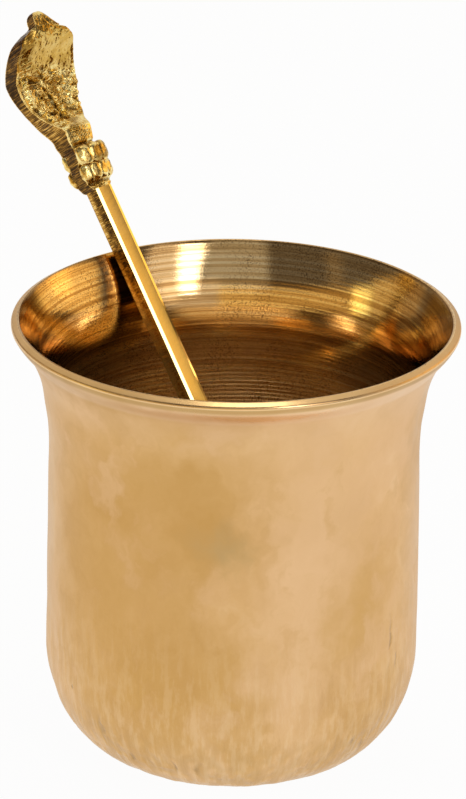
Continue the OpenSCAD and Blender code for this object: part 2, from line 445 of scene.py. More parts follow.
def clouds(tree, place, scale, detail=4.0, rough=0.55, stretch=(1.0, 1.0, 1.0)):
    """Noise from 0 to 1 at a number of grains per metre, stretched along an axis."""
    at = add_node(tree, "ShaderNodeMapping", {"Vector": place, "Scale": stretch}).outputs[0]
    values = {"Vector": at, "Scale": scale, "Detail": detail, "Roughness": rough}
    return add_node(tree, "ShaderNodeTexNoise", values).outputs["Fac"]


def tones(tree, value, stops):
    """A colour for each value, from (position, colour) stops."""
    ramp = add_node(tree, "ShaderNodeValToRGB", {"Fac": value})
    bar = ramp.color_ramp.elements
    while len(bar) < len(stops):
        bar.new(0.5)
    for element, (position, colour) in zip(bar, stops):
        element.position = position
        element.color = (*colour, 1.0)
    return ramp.outputs["Color"]


def mixed(tree, share, a, b):
    """Colour a going over to colour b as share goes from 0 to 1."""
    a, b = ((*colour, 1.0) if isinstance(colour, tuple) else colour for colour in (a, b))
    return add_node(tree, "ShaderNodeMix", {0: share, 6: a, 7: b}, data_type="RGBA").outputs[2]


def raised(tree, shader, height, depth, strength):
    """Small relief on a shader, depth in millimetres."""
    values = {"Height": height, "Distance": depth * MM, "Strength": strength}
    made = add_node(tree, "ShaderNodeBump", values)
    tree.links.new(made.outputs["Normal"], shader.inputs["Normal"])


def skin_lay(tree):
    """Place on a turned skin: two axes round it and one along its outline, without a seam."""
    return marked(tree, "lay", "Vector")


def stain(tree, lay, degrees, height, wide, tall, edge=0.0):
    """A soft-edged oval on the skin, 1 inside, at degrees right of the camera and a height in millimetres."""
    way = photo_way(degrees, 0.0) * BODY_R
    middle = (way.x * MM, way.y * MM, (height - FOOT_CURVE_H) * MM)
    off = vectors(tree, "SUBTRACT", lay, middle)
    off = vectors(tree, "MULTIPLY", off, (1.0 / (wide * MM), 1.0 / (wide * MM), 1.0 / (tall * MM)))
    return spread(tree, vectors(tree, "LENGTH", off), edge, 1.0, 1.0, 0.0)


def satin_outside():
    """Satin brass: soft stains above, scrapes and dimples toward the foot, a smoother lip, with painted light
    and shade under and on the lip.
    """
    material, tree, shader = brass("tumbler_satin_brass", (0.74, 0.45, 0.17), 0.42)
    lay = skin_lay(tree)
    along = upright(tree, lay)
    low = spread(tree, along, -0.012, 0.022, 1.0, 0.0)
    foot = spread(tree, along, -0.003, -0.010)
    # Places that wander a little, so that the stains and gouges have uneven edges
    noise = {"Vector": lay, "Scale": 160.0, "Detail": 4.0}
    drift = add_node(tree, "ShaderNodeTexNoise", noise).outputs["Color"]
    drift = vectors(tree, "SCALE", vectors(tree, "SUBTRACT", drift, (0.5, 0.5, 0.5)), 0.014)
    loose = vectors(tree, "ADD", lay, drift)
    ragged = vectors(tree, "ADD", lay, vectors(tree, "SCALE", drift, 0.35))
    blotch = clouds(tree, loose, 46.0, 5.0, 0.62, (1.0, 1.0, 0.8))
    wash = clouds(tree, loose, 105.0, 4.0, 0.55, (1.0, 1.0, 0.6))
    scrape = clouds(tree, lay, 700.0, 5.0, 0.7, (1.0, 1.0, 0.2))
    speck = clouds(tree, lay, 1700.0, 3.0, 0.6)
    cells = add_node(tree, "ShaderNodeMapping", {"Vector": lay, "Scale": (1.0, 1.0, 0.7)}).outputs[0]
    cells = add_node(tree, "ShaderNodeTexVoronoi", {"Vector": cells, "Scale": 640.0}, feature="SMOOTH_F1")
    dimple = times(tree, spread(tree, cells.outputs["Distance"], 0.2, 0.6), foot)

    # Even ground of the brass, paler on the flare
    ground_stops = (
        (0.30, (0.62, 0.355, 0.115)),
        (0.46, (0.71, 0.43, 0.165)),
        (0.58, (0.77, 0.48, 0.205)),
        (0.74, (0.84, 0.56, 0.285)),
    )
    colour = tones(tree, blotch, ground_stops)
    colour = mixed(tree, spread(tree, along, 0.044, 0.056, 0.0, 0.35), colour, (0.92, 0.64, 0.38))

    # Stains: degrees right of the camera, height, half width, half height, tone, share
    rosy, brown, gold = (0.90, 0.60, 0.34), (0.61, 0.345, 0.10), (0.69, 0.41, 0.135)
    grey, painted_edge_sheen = (0.58, 0.395, 0.18), (0.86, 0.62, 0.36)
    for degrees, height, wide, tall, tone, share in (
        (24.0, 44.0, 17.0, 46.0, rosy, 0.72),
        (50.0, 60.0, 18.0, 22.0, rosy, 0.5),
        (17.0, 22.0, 9.0, 16.0, rosy, 0.5),
        # A paler band by the left edge: a painted sheen in place of the grazing reflection there
        (-74.0, 46.0, 10.0, 34.0, painted_edge_sheen, 0.4),
        (-38.0, 40.0, 22.0, 34.0, brown, 0.52),
        (-36.0, 75.0, 26.0, 8.0, brown, 0.7),
        (-41.0, 54.0, 12.0, 7.0, brown, 0.75),
        (-18.0, 59.0, 17.0, 8.0, brown, 0.5),
        (-9.0, 49.0, 8.0, 10.0, brown, 0.8),
        (-4.0, 48.0, 7.5, 7.0, grey, 0.7),
        (-15.0, 70.0, 5.0, 4.0, gold, 0.6),
        (42.0, 33.0, 9.0, 12.0, gold, 0.75),
        (52.0, 42.0, 5.0, 7.0, gold, 0.5),
        (-29.0, 20.0, 13.0, 9.0, gold, 0.6),
        (-5.0, 23.0, 6.0, 9.0, gold, 0.55),
    ):
        oval = stain(tree, loose, degrees, height, wide, tall)
        colour = mixed(tree, times(tree, oval, share), colour, tone)

    # Gouges toward the foot: degrees right of the camera, height, half width, half height
    gouged = 0.0
    for degrees, height, wide, tall in (
        (-44.0, 10.5, 0.8, 4.5),
        (-44.5, 3.6, 1.2, 2.0),
        (-35.0, 5.5, 0.7, 2.6),
        (-58.0, 16.0, 0.6, 0.7),
        (-18.0, 5.6, 0.7, 2.4),
        (-9.7, 5.6, 0.9, 2.6),
        (44.0, 8.6, 0.9, 3.0),
        (49.0, 6.5, 1.0, 1.8),
        (57.0, 27.0, 0.7, 6.0),
        (61.0, 22.0, 0.6, 3.0),
    ):
        gouged = maths(tree, "MAXIMUM", gouged, stain(tree, ragged, degrees, height, wide, tall))

    # Washes, scrapes, dimples and gouges; then painted light in the hollow under the lip, painted shade to
    # its left, a band of painted shade and a band of painted light on the lip's outer rounding, and the lip
    # itself
    lines = times(tree, spread(tree, scrape, 0.45, 0.62), low)
    for share, strength, tone in (
        (spread(tree, wash, 0.5, 0.72), 0.5, (0.86, 0.58, 0.32)),
        (spread(tree, wash, 0.48, 0.3), 0.4, (0.63, 0.36, 0.12)),
        (lines, 0.22, (0.95, 0.72, 0.46)),
        (times(tree, spread(tree, scrape, 0.44, 0.30), low), 0.24, (0.50, 0.29, 0.10)),
        (dimple, 0.35, (0.58, 0.36, 0.14)),
        (gouged, 0.45, (0.36, 0.21, 0.07)),
        # Painted light: paler where the outside leans out under the lip, against the dark reflection of the
        # body
        (marked(tree, "hollow"), 0.45, (0.95, 0.69, 0.44)),
        # Painted shade: darker on the left just under the lip
        (stain(tree, loose, -50.0, 76.0, 30.0, 5.0), 0.55, brown),
        # Painted shade: a darker band low on the lip's outer rounding
        (band(tree, along, 0.0586, 0.0594, 0.0599, 0.0603), 0.7, (0.52, 0.32, 0.11)),
        # Painted light: a paler band above it, where the rounding reflects the dark room
        (band(tree, along, 0.0599, 0.0601, 0.0603, 0.0606), 0.7, (0.98, 0.70, 0.38)),
        (spread(tree, along, 0.0603, 0.0608), 0.6, (0.68, 0.44, 0.18)),
    ):
        colour = mixed(tree, times(tree, share, strength), colour, tone)
    tree.links.new(colour, shader.inputs["Base Color"])

    # Gloss: scrapes and the worn front of the lip are smoother
    rough = maths(tree, "MULTIPLY_ADD", lines, -0.08, spread(tree, wash, 0.3, 0.7, 0.36, 0.48))
    worn = stain(tree, lay, 7.0, 79.0, 18.0, 6.0, 0.6)
    tree.links.new(maths(tree, "MULTIPLY_ADD", worn, -0.18, rough), shader.inputs["Roughness"])
    relief = times(tree, scrape, spread(tree, along, -0.012, 0.03, 1.0, 0.10))
    for height, share in ((speck, 0.05), (dimple, -0.6), (gouged, -0.9)):
        relief = maths(tree, "MULTIPLY_ADD", height, share, relief)
    relief = times(tree, relief, spread(tree, along, 0.056, 0.060, 1.0, 0.2))
    raised(tree, shader, relief, 0.22, 0.9)
    return material


def turned_inside():
    """Lathe-turned brass: rings with specks of dust above, duller, coarser and paler toward the floor, where
    the paleness is painted light.
    """
    material, tree, shader = brass("tumbler_turned_brass", (0.80, 0.49, 0.18), 0.16)
    lay = skin_lay(tree)
    along = upright(tree, lay)
    rings = clouds(tree, lay, 30.0, 6.0, 0.75, (0.15, 0.15, 32.0))
    chatter = clouds(tree, lay, 420.0, 3.0, 0.6, (1.0, 1.0, 0.12))
    speck = clouds(tree, lay, 4200.0, 2.0, 0.7)
    smear = clouds(tree, lay, 45.0, 4.0)

    high_stops = ((0.43, (0.54, 0.33, 0.13)), (0.5, (0.85, 0.58, 0.27)), (0.57, (1.0, 0.78, 0.46)))
    # Toward the floor the rings are much paler: painted light against the dark that many bounces give deep
    # inside
    floor_painted_light_stops = ((0.42, (0.72, 0.51, 0.30)), (0.5, (0.92, 0.72, 0.47)), (0.58, (1.0, 0.90, 0.70)))
    tone, floor_painted_light_tone = tones(tree, rings, high_stops), tones(tree, rings, floor_painted_light_stops)
    tone = mixed(tree, spread(tree, along, 0.048, 0.038), tone, floor_painted_light_tone)
    # Dust lies in patches, and is left off one oval at the back, where the window lamp's bright reflection
    # lies
    dusted = spread(tree, clouds(tree, lay, 120.0, 3.0), 0.42, 0.58, 0.38, 0.92)
    dust_off_at_reflection = maths(tree, "MULTIPLY_ADD", stain(tree, lay, 193.0, 72.4, 8.0, 11.0, 0.5), -0.9, 1.0)
    dust = times(tree, spread(tree, speck, 0.50, 0.62), times(tree, dusted, dust_off_at_reflection))
    tree.links.new(mixed(tree, dust, tone, (0.24, 0.13, 0.045)), shader.inputs["Base Color"])

    shine = spread(tree, smear, 0.3, 0.7, 0.05, 0.12)
    dull = maths(tree, "ADD", shine, spread(tree, along, 0.044, 0.030, 0.0, 0.22))
    tree.links.new(dull, shader.inputs["Roughness"])
    shader.inputs["Anisotropic"].default_value = 0.35
    tangent = add_node(tree, "ShaderNodeTangent", direction_type="RADIAL", axis="Z")
    tree.links.new(tangent.outputs[0], shader.inputs["Tangent"])

    # The tool's own even rings show most near the floor
    turning = maths(tree, "MULTIPLY_ADD", smear, 9.0, times(tree, along, 2 * math.pi / LATHE_STEP))
    turning = times(tree, maths(tree, "SINE", turning), spread(tree, along, 0.044, 0.034, 0.05, 0.55))
    relief = times(tree, rings, spread(tree, along, 0.036, 0.050, 0.5, 0.34))
    for height, share in ((chatter, 0.25), (turning, 1.0), (speck, 0.22)):
        relief = maths(tree, "MULTIPLY_ADD", height, share, relief)
    raised(tree, shader, relief, 0.07, 0.5)
    return material


def polished_shaft():
    """Polished brass with a faint cloudiness."""
    material, tree, shader = brass("spoon_polished_brass", (0.84, 0.56, 0.20), 0.16)
    place = object_place(tree)
    tint = clouds(tree, place, 160.0, 4.0)
    tone = tones(tree, tint, ((0.35, (0.88, 0.64, 0.24)), (0.65, (0.95, 0.73, 0.33))))
    tree.links.new(tone, shader.inputs["Base Color"])
    tree.links.new(spread(tree, tint, 0.3, 0.7, 0.07, 0.15), shader.inputs["Roughness"])
    raised(tree, shader, clouds(tree, place, 900.0, 3.0), 0.02, 0.4)
    return material


def filed_side():
    """Filed brass: fine strokes from front to back, dark with tarnish and painted shade where its stored
    value is high, and bright gold where it is lowest, a painted reflection.
    """
    material, tree, shader = brass("spoon_filed_brass", (0.46, 0.27, 0.08), 0.24)
    shade = marked(tree, "tarnish_and_painted_light")
    local = marked(tree, "local", "Vector")
    hairs = clouds(tree, local, 7400.0, 3.0, 0.6, (1.0, 0.05, 1.0))
    marks = clouds(tree, local, 900.0, 4.0, 0.7)
    for stroke, share in ((hairs, 1.9), (marks, 0.5)):
        shade = maths(tree, "MULTIPLY_ADD", maths(tree, "SUBTRACT", stroke, 0.5), share, shade)
    # The brightest stop gives the painted golden reflection on the lower shaft; the darkest give tarnish and
    # painted shade
    stops = (
        (0.02, (1.0, 0.80, 0.36)),
        (0.22, (0.82, 0.49, 0.12)),
        (0.42, (0.46, 0.225, 0.035)),
        (0.62, (0.17, 0.08, 0.014)),
        (0.86, (0.04, 0.02, 0.006)),
    )
    tree.links.new(tones(tree, shade, stops), shader.inputs["Base Color"])
    raised(tree, shader, hairs, 0.05, 0.6)
    return material


def cast_hood():
    """Cast brass: patchy and pitted, dark in its recesses, browner on the dome."""
    material, tree, shader = brass("finial_cast_brass", (0.80, 0.52, 0.16), 0.26)
    place = object_place(tree)
    tarnish_and_painted_light = marked(tree, "tarnish_and_painted_light")
    stops = ((0.41, (0.40, 0.24, 0.05)), (0.5, (0.84, 0.58, 0.18)), (0.59, (1.0, 0.85, 0.38)))
    tone = tones(tree, clouds(tree, place, 420.0, 6.0, 0.68), stops)
    tone = mixed(tree, times(tree, marked(tree, "warm"), 0.7), tone, (0.76, 0.46, 0.085))
    tone = mixed(tree, tarnish_and_painted_light, tone, (0.07, 0.03, 0.007))
    tree.links.new(tone, shader.inputs["Base Color"])
    pitted = clouds(tree, place, 1500.0, 4.0, 0.65)
    rough = maths(tree, "MULTIPLY_ADD", tarnish_and_painted_light, 0.2, spread(tree, pitted, 0.3, 0.7, 0.05, 0.14))
    tree.links.new(rough, shader.inputs["Roughness"])
    raised(tree, shader, pitted, 0.10, 0.7)
    return material


SATIN = satin_outside()
TURNED = turned_inside()
POLISH = polished_shaft()
FILED = filed_side()
CAST = cast_hood()


# The tumbler's outline, turned round the Z axis


def outline_of_tumbler():
    """Points (radius, height) up the outside, over the lip and down the inside, in five runs."""

    def corner(angles, inset_r, inset_h):
        """The rounded foot, or its inside."""
        wide, tall = BODY_R - FOOT_R - inset_r, FOOT_CURVE_H - inset_h
        return [(FOOT_R + wide * math.cos(a), FOOT_CURVE_H - tall * math.sin(a)) for a in angles]

    def body(heights, inset):
        """The nearly straight side."""
        t = (heights - FOOT_CURVE_H) / (NECK_Z - FOOT_CURVE_H)
        r = BODY_R + (NECK_R - BODY_R) * ease(t, 0.0, 1.0) - inset
        return list(zip(r, heights))

    def flare(shares, inset):
        """The round sweep from the neck to the lip."""
        r = SWEEP + inset
        turns = [SWEEP_END * s for s in shares]
        return [(NECK_R + SWEEP - r * math.cos(a), NECK_Z + r * math.sin(a)) for a in turns]

    def fuller(outline):
        """The outside as it was spun: a little slimmer below the flare and fuller in its lower half."""
        return [(r + 0.34 * bump(z, 63.2, 3.6) - 0.10 * bump(z, 54.5, 3.5), z) for r, z in outline]

    def round_edge(middle, radius, angles):
        """An arc round a middle."""
        return [(middle[0] + radius * math.cos(a), middle[1] + radius * math.sin(a)) for a in angles]

    def to_lip(start, slope, end, end_slope):
        """A smooth run from the flare's outside to the lip's outer edge, slopes off the upright."""
        a, d = np.array(start), np.array(end)
        reach = 0.35 * np.hypot(*(d - a))
        b = a + reach * np.array((math.sin(slope), math.cos(slope)))
        c = d - reach * np.array((math.sin(end_slope), math.cos(end_slope)))
        t = np.linspace(0.0, 1.0, 16)[1:-1, None]
        run = (1 - t) ** 3 * a + 3 * (1 - t) ** 2 * t * b + 3 * (1 - t) * t * t * c + t**3 * d
        return [tuple(p) for p in run]

    quarter = math.pi / 2
    seam_out = math.asin((FOOT_CURVE_H - SEAM_H) / FOOT_CURVE_H)
    seam_in = math.asin((FOOT_CURVE_H - SEAM_H) / (FOOT_CURVE_H - FLOOR))
    foot_out = corner(np.linspace(quarter, seam_out, 40), 0.0, 0.0)
    foot_in = corner(np.linspace(seam_in, quarter, 14), WALL, FLOOR)
    side_out = corner(np.linspace(seam_out, 0.0, 34)[:-1], 0.0, 0.0)
    side_out += fuller(body(np.linspace(FOOT_CURVE_H, NECK_Z, 68)[:-1], 0.0))
    # Lip: a rounded inner edge that runs into the flare, a slanting top, and a rounded outer edge
    inner_z = HEIGHT - LIP_IN_DROP - LIP_IN_R
    inner_sweep = SWEEP + WALL - LIP_IN_R
    inner_turn = math.asin((inner_z - NECK_Z) / inner_sweep)
    inner_mid = (NECK_R + SWEEP - inner_sweep * math.cos(inner_turn), inner_z)
    outer_r = MOUTH_R - LIP_OUT_R
    drop = (outer_r - inner_mid[0]) / math.tan(LIP_FACES) + (LIP_OUT_R - LIP_IN_R) / math.sin(LIP_FACES)
    over = round_edge((outer_r, inner_z - drop), LIP_OUT_R, np.linspace(-LIP_TURN_OUT, LIP_FACES, 16))
    side_out += fuller(flare(np.linspace(0.0, LIP_BLEND, 24), 0.0))
    side_out += to_lip(side_out[-1], SWEEP_END * LIP_BLEND, over[0], LIP_TURN_OUT)
    side_in = round_edge(inner_mid, LIP_IN_R, np.linspace(LIP_FACES, math.pi - inner_turn, 12))
    side_in += flare(np.linspace(inner_turn / SWEEP_END, 0.0, 40)[1:], WALL)
    side_in += body(np.linspace(NECK_Z, FOOT_CURVE_H, 20)[1:], WALL)
    side_in += corner(np.linspace(0.0, seam_in, 14)[1:], WALL, FLOOR)
    return foot_out, side_out, over, side_in, foot_in


def along_outline(outline):
    """Distance along an outline to each of its points, from the point nearest the top of the foot's curve."""
    r, z = np.array(outline).T
    reach = np.concatenate(([0.0], np.cumsum(np.hypot(np.diff(r), np.diff(z)))))
    return reach - reach[np.argmin(np.abs(z - FOOT_CURVE_H))]


def lay_points(outline):
    """Place of each ring point on the skin, in metres: round the body, and along the outline."""
    along = along_outline(outline)
    return turned_points(np.column_stack((np.full(len(along), BODY_R), along)), TUMBLER_SEGMENTS) * MM


def hammered_skin():
    """A tree that dents, hammers and scrapes a turned skin where the point value 'skin' is above 0."""
    tree, given, result = new_tree(
        "hammered_skin",
        (
            ("Dent depth", "NodeSocketFloat", 0.0004),
            ("Dent size", "NodeSocketFloat", 0.012),
            ("Hammer depth", "NodeSocketFloat", 0.0002),
            ("Hammer size", "NodeSocketFloat", 0.0042),
            ("Scrape depth", "NodeSocketFloat", 0.00016),
            ("Scrape width", "NodeSocketFloat", 0.0014),
            ("Hammered height", "NodeSocketFloat", 0.008),
        ),
    )
    lay = stored(tree, "lay", "FLOAT_VECTOR")
    along = upright(tree, lay)

    def noise(vector, size, detail):
        """Noise round 0 with grains of a given size."""
        values = {"Vector": vector, "Scale": maths(tree, "DIVIDE", 1.0, size), "Detail": detail}
        return maths(tree, "SUBTRACT", add_node(tree, "ShaderNodeTexNoise", values).outputs["Fac"], 0.5)

    # Each kind of mark grows toward the foot
    dent = times(tree, noise(lay, given["Dent size"], 1.5), given["Dent depth"])
    dent = times(tree, dent, spread(tree, along, 0.030, -0.006, 0.22, 1.0))
    values = {"Vector": lay, "Scale": maths(tree, "DIVIDE", 1.0, given["Hammer size"]), "Randomness": 0.9}
    blows = add_node(tree, "ShaderNodeTexVoronoi", values, feature="SMOOTH_F1").outputs["Distance"]
    blows = times(tree, maths(tree, "SUBTRACT", blows, 0.4), given["Hammer depth"])
    blows = times(tree, blows, spread(tree, along, given["Hammered height"], -0.008, 0.0, 1.0))
    tall = vectors(tree, "MULTIPLY", lay, (1.0, 1.0, 0.14))
    scrape = times(tree, noise(tall, given["Scrape width"], 2.0), given["Scrape depth"])
    scrape = times(tree, scrape, spread(tree, along, 0.024, -0.004, 0.12, 1.0))
    depth = maths(tree, "ADD", maths(tree, "ADD", dent, blows), scrape)
    moved = shifted(tree, given["Geometry"], times(tree, depth, stored(tree, "skin")))
    tree.links.new(moved, result["Geometry"])
    return tree


def build_wall(side_out, over, side_in, skin_tree):
    """The wall: satin outside and lip, turned inside, and a satin seam face underneath."""
    loop = side_out + over + side_in
    radii, heights = np.array(loop).T
    zone = np.array([0] * (len(side_out) + len(over)) + [1] * len(side_in))
    zone[-1] = 0
    face_sets = [(ring_faces(len(loop), TUMBLER_SEGMENTS, True), np.repeat(zone, TUMBLER_SEGMENTS))]
    points = turned_points(loop, TUMBLER_SEGMENTS)
    wall = make_piece("tumbler_wall_skin", points, face_sets, [SATIN, TURNED])
    weight = (zone == 0) * ease(heights, SEAM_H, SEAM_H + 0.5) * (1.0 - ease(heights, 60.0, 76.0))
    weight[-1] = 0.0
    point_values(wall, "skin", np.repeat(weight, TUMBLER_SEGMENTS))
    # The outside leans out most in the hollow under the lip; there its colour gets painted light, paler
    # against the dark reflection of the body
    lean = np.degrees(np.arctan2(np.gradient(radii), np.gradient(heights)))
    hollow = (zone == 0) * (heights > NECK_Z) * ease(lean, 30.0, 38.0)
    point_values(wall, "hollow", np.repeat(hollow, TUMBLER_SEGMENTS))
    # The inside is measured up from its own foot curve
    lay = lay_points(loop)
    inside = lay_points(side_in[::-1]).reshape(len(side_in), TUMBLER_SEGMENTS, 3)[::-1].reshape(-1, 3)
    lay[-len(inside):] = inside
    point_values(wall, "lay", lay, "FLOAT_VECTOR")
    sharpen(wall, 50)
    grow(wall, skin_tree, SKIN_DEPTHS)
    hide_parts("tumbler_wall")
    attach(wall, "tumbler")


def build_base(foot_out, foot_in, side_out, skin_tree):
    """The dished base: the flat foot and its rounded edge, the seam face, and the turned floor."""
    flat = [(r, 0.0) for r in np.linspace(POLE_R, FOOT_R, 10)[:-1]]
    floor_rows = [(r, FLOOR) for r in np.linspace(FOOT_R, POLE_R, 12)[1:]]
    rows = flat + foot_out + foot_in + floor_rows
    outside = len(flat) + len(foot_out)
    zone = np.array([0] * outside + [1] * (len(foot_in) + len(floor_rows)))
    zones = np.repeat(zone[:-1], TUMBLER_SEGMENTS)
    poles = [(0.0, 0.0, 0.0), (0.0, 0.0, FLOOR)]
    points = turned_points(rows, TUMBLER_SEGMENTS)
    points, face_sets = capped(points, TUMBLER_SEGMENTS, poles, zones, 1)
    base = make_piece("tumbler_base_skin", points, face_sets, [SATIN, TURNED])
    heights = np.array(rows)[:, 1]
    weight = (zone == 0) * ease(heights, 0.2, 1.4) * (1.0 - ease(heights, SEAM_H - 0.5, SEAM_H))
    point_values(base, "skin", with_poles(np.repeat(weight, TUMBLER_SEGMENTS)))
    # Continue the wall's measure down from the seam
    lay = lay_points(rows)
    seam_row = (outside - 1) * TUMBLER_SEGMENTS
    lay[:, 2] += along_outline(side_out)[0] * MM - lay[seam_row, 2]
    point_values(base, "lay", np.concatenate((lay, lay[:1], lay[-1:])), "FLOAT_VECTOR")
    sharpen(base, 50)
    grow(base, skin_tree, SKIN_DEPTHS)
    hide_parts("tumbler_base")
    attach(base, "tumbler")


def build_tumbler():
    """The wall and the base, turned from one outline and dented by one tree."""
    foot_out, side_out, over, side_in, foot_in = outline_of_tumbler()
    skin_tree = hammered_skin()
    build_wall(side_out, over, side_in, skin_tree)
    build_base(foot_out, foot_in, side_out, skin_tree)


# The spoon, made upright in its own frame and leaned into the tumbler


def shaft_thickness(z):
    """Thickness along the shaft: thin at the bowl, nearly full where it comes in sight."""
    marks = (BOWL_D - SHAFT_LOW_W, 0.62 * SHAFT_REACH, SHAFT_REACH)
    return np.interp(z, marks, (SHAFT_LOW_T, 0.97 * SHAFT_TOP_T, SHAFT_TOP_T))


def spoon_frame():
    """Where the spoon lies: the matrix from its upright frame to the row frame, in millimetres."""
    corner_in_r = BODY_R - FOOT_R - WALL
    corner_in_h = FOOT_CURVE_H - FLOOR
    gap = 1.2 * REST_GAP
    angle = math.radians(REST_ANGLE)
    tip_r = FOOT_R + (corner_in_r - gap) * math.cos(angle)
    tip_z = FOOT_CURVE_H - (corner_in_h - gap) * math.sin(angle)
    tip_y = -math.sqrt(tip_r**2 - SPOON_OFFSET**2)
    cross_x = SPOON_OFFSET + SHAFT_TOP_W / 2

    def lean_on(radius, height, extra):
        """Lean at which the shaft's back just clears a ring of the tumbler."""
        y, z = math.sqrt(radius**2 - cross_x**2) - tip_y, height - tip_z
        reach = math.hypot(y, z)
        back = float(shaft_thickness(reach)) * (1.0 - FRONT_SHARE)
        return math.atan2(y, z) - math.asin((back + extra + REST_GAP - BOWL_RIM_Y) / reach)

    leans = [lean_on(LIP_R, LIP_Z, LIP / 2)]
    r = SWEEP + WALL
    for p in np.linspace(0.0, SWEEP_END, 21):
        leans.append(lean_on(NECK_R + SWEEP - r * math.cos(p), NECK_Z + r * math.sin(p), 0.0))
    return (
        Matrix.Translation((SPOON_OFFSET, tip_y, tip_z))
        @ Matrix.Rotation(-min(leans), 4, "X")
        @ Matrix.Translation((0.0, -BOWL_RIM_Y, 0.0))
    )


LEAN = np.array(spoon_frame())


def leaned(points):
    """Points of the upright spoon where they lie in the tumbler."""
    return points @ LEAN[:3, :3].T + LEAN[:3, 3]


def build_shaft():
    """The shaft: a polished front with bevelled edges, two filed sides and a flat back."""
    z = np.linspace(BOWL_D - 0.5, SHAFT_REACH + FOOT_HIDDEN, 260)
    t = shaft_thickness(z)
    w = SHAFT_LOW_W + (SHAFT_TOP_W - SHAFT_LOW_W) * (z - BOWL_D) / (SHAFT_REACH - BOWL_D)
    # Round the section: front arch, right side, back, left side; each side is two filed facets
    left_bevel, right_bevel = np.linspace(-1.0, -BEVEL_FROM, 5), np.linspace(BEVEL_FROM, 1.0, 5)
    u = np.concatenate((left_bevel, np.linspace(-0.6, 0.6, 9), right_bevel))
    back = u[::-2]
    side = np.linspace(0.0, 1.0, 9)[1:-1]
    ridge = SIDE_BULGE * np.interp(side, (0.0, 0.125, 1.0), (0.0, 1.0, 0.0))
    columns_x = np.concatenate((u, 1.0 + ridge, back, -1.0 - ridge))
    bevel = np.maximum(0.0, np.abs(u) - BEVEL_FROM) / (1.0 - BEVEL_FROM)
    front = 0.04 * ARCH_SHARE * np.maximum(0.0, 1.0 - (u / BEVEL_FROM) ** 2)
    front = front + np.where(u < 0, LEFT_BEVEL, RIGHT_BEVEL) * bevel
    right_side = RIGHT_BEVEL + (1.0 - RIGHT_BEVEL) * side
    left_side = LEFT_BEVEL + (1.0 - LEFT_BEVEL) * side
    columns_t = np.concatenate((front, right_side, np.full(len(back), 1.0), left_side[::-1]))
    filed = [1] * (len(side) + 1)
    zone = [0] * (len(u) - 1) + filed + [0] * (len(back) - 1) + filed
    x = w[:, None] / 2 * columns_x
    y = t[:, None] * (columns_t - FRONT_SHARE)
    zz = np.broadcast_to(z[:, None], x.shape)
    # Hand-filed unevenness, and short tool marks along the sides
    x = x + 0.025 * grain(0.0, 0.0, zz, 7.0, 3) * columns_x
    on_side = (np.abs(columns_x) > 0.999) * 1.0
    marks = np.maximum(0.0, grain(zz * 1.6, y * 0.3, 0.0, 1.0, 11)) * bump(zz, 80.0, 9.0)
    x = x - 0.07 * marks * on_side * bump(columns_t, 0.6, 0.25) * np.sign(columns_x)
    y = y + 0.003 * grain(zz * 0.3, x, 0.0, 1.2, 5)
    points = np.stack((x, y, zz), -1).reshape(-1, 3)
    points, face_sets = capped(points, len(columns_x), zones=np.tile(zone, len(z) - 1))
    shaft = make_piece("spoon_shaft_bar", leaned(points), face_sets, [POLISH, FILED])
    # Darker toward the front edge; lighter on the lower shaft, inside the mouth, as a painted golden
    # reflection of the tumbler's inside wall
    facet = 1.0 - ease(columns_t, 0.23, 0.27)
    toward_front = 1.0 - ease(columns_t, 0.45, 0.75)
    inside_mouth_reflection = 1.0 - ease(zz, 78.0, 94.0)
    shade = 0.40 + 0.30 * toward_front - inside_mouth_reflection * (0.74 * facet + 0.58 * (1.0 - facet)) - 0.15 * marks
    point_values(shaft, "tarnish_and_painted_light", with_poles(shade, 0.5))
    point_values(shaft, "local", points * MM, "FLOAT_VECTOR")
    sharpen(shaft, 9)
    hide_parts("spoon_shaft")
    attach(shaft, "spoon")


def build_bowl():
    """The round bowl, with a rounded rim, opening toward the front of the spoon."""
    radius = (BOWL_D**2 / 4 + BOWL_DEPTH**2) / (2 * BOWL_DEPTH)
    inside = radius - BOWL_WALL
    rise = radius - BOWL_DEPTH
    tip_angle, rim_rise = 0.06, 0.22
    rim_out, rim_in = math.acos(rise / radius), math.acos(rise / inside)

    def shell(r, angles):
        """Part of a round cup, from angles off its lowest point."""
        return [(r * math.sin(a), rise - r * math.cos(a)) for a in angles]

    outer = shell(radius, np.linspace(tip_angle, rim_out, 30))
    inner = shell(inside, np.linspace(rim_in, tip_angle, 30))
    middle, half = (outer[-1][0] + inner[0][0]) / 2, (outer[-1][0] - inner[0][0]) / 2
    over = np.linspace(0.0, math.pi, 9)[1:-1]
    edge = [(middle + half * math.cos(a), rim_rise * math.sin(a)) for a in over]
    poles = [(0.0, 0.0, -BOWL_DEPTH), (0.0, 0.0, BOWL_WALL - BOWL_DEPTH)]
    points = turned_points(outer + edge + inner, BOWL_SEGMENTS)
    points, face_sets = capped(points, BOWL_SEGMENTS, poles)
    swell = 1.0 + 0.004 * grain(*points.T, 4.0, 21)
    points = points * swell[:, None]
    points = np.stack((points[:, 0], BOWL_RIM_Y - points[:, 2], points[:, 1] + BOWL_D / 2), -1)
    bowl = make_piece("spoon_bowl_cup", leaned(points), face_sets, [POLISH])
    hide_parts("spoon_bowl")
    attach(bowl, "spoon")


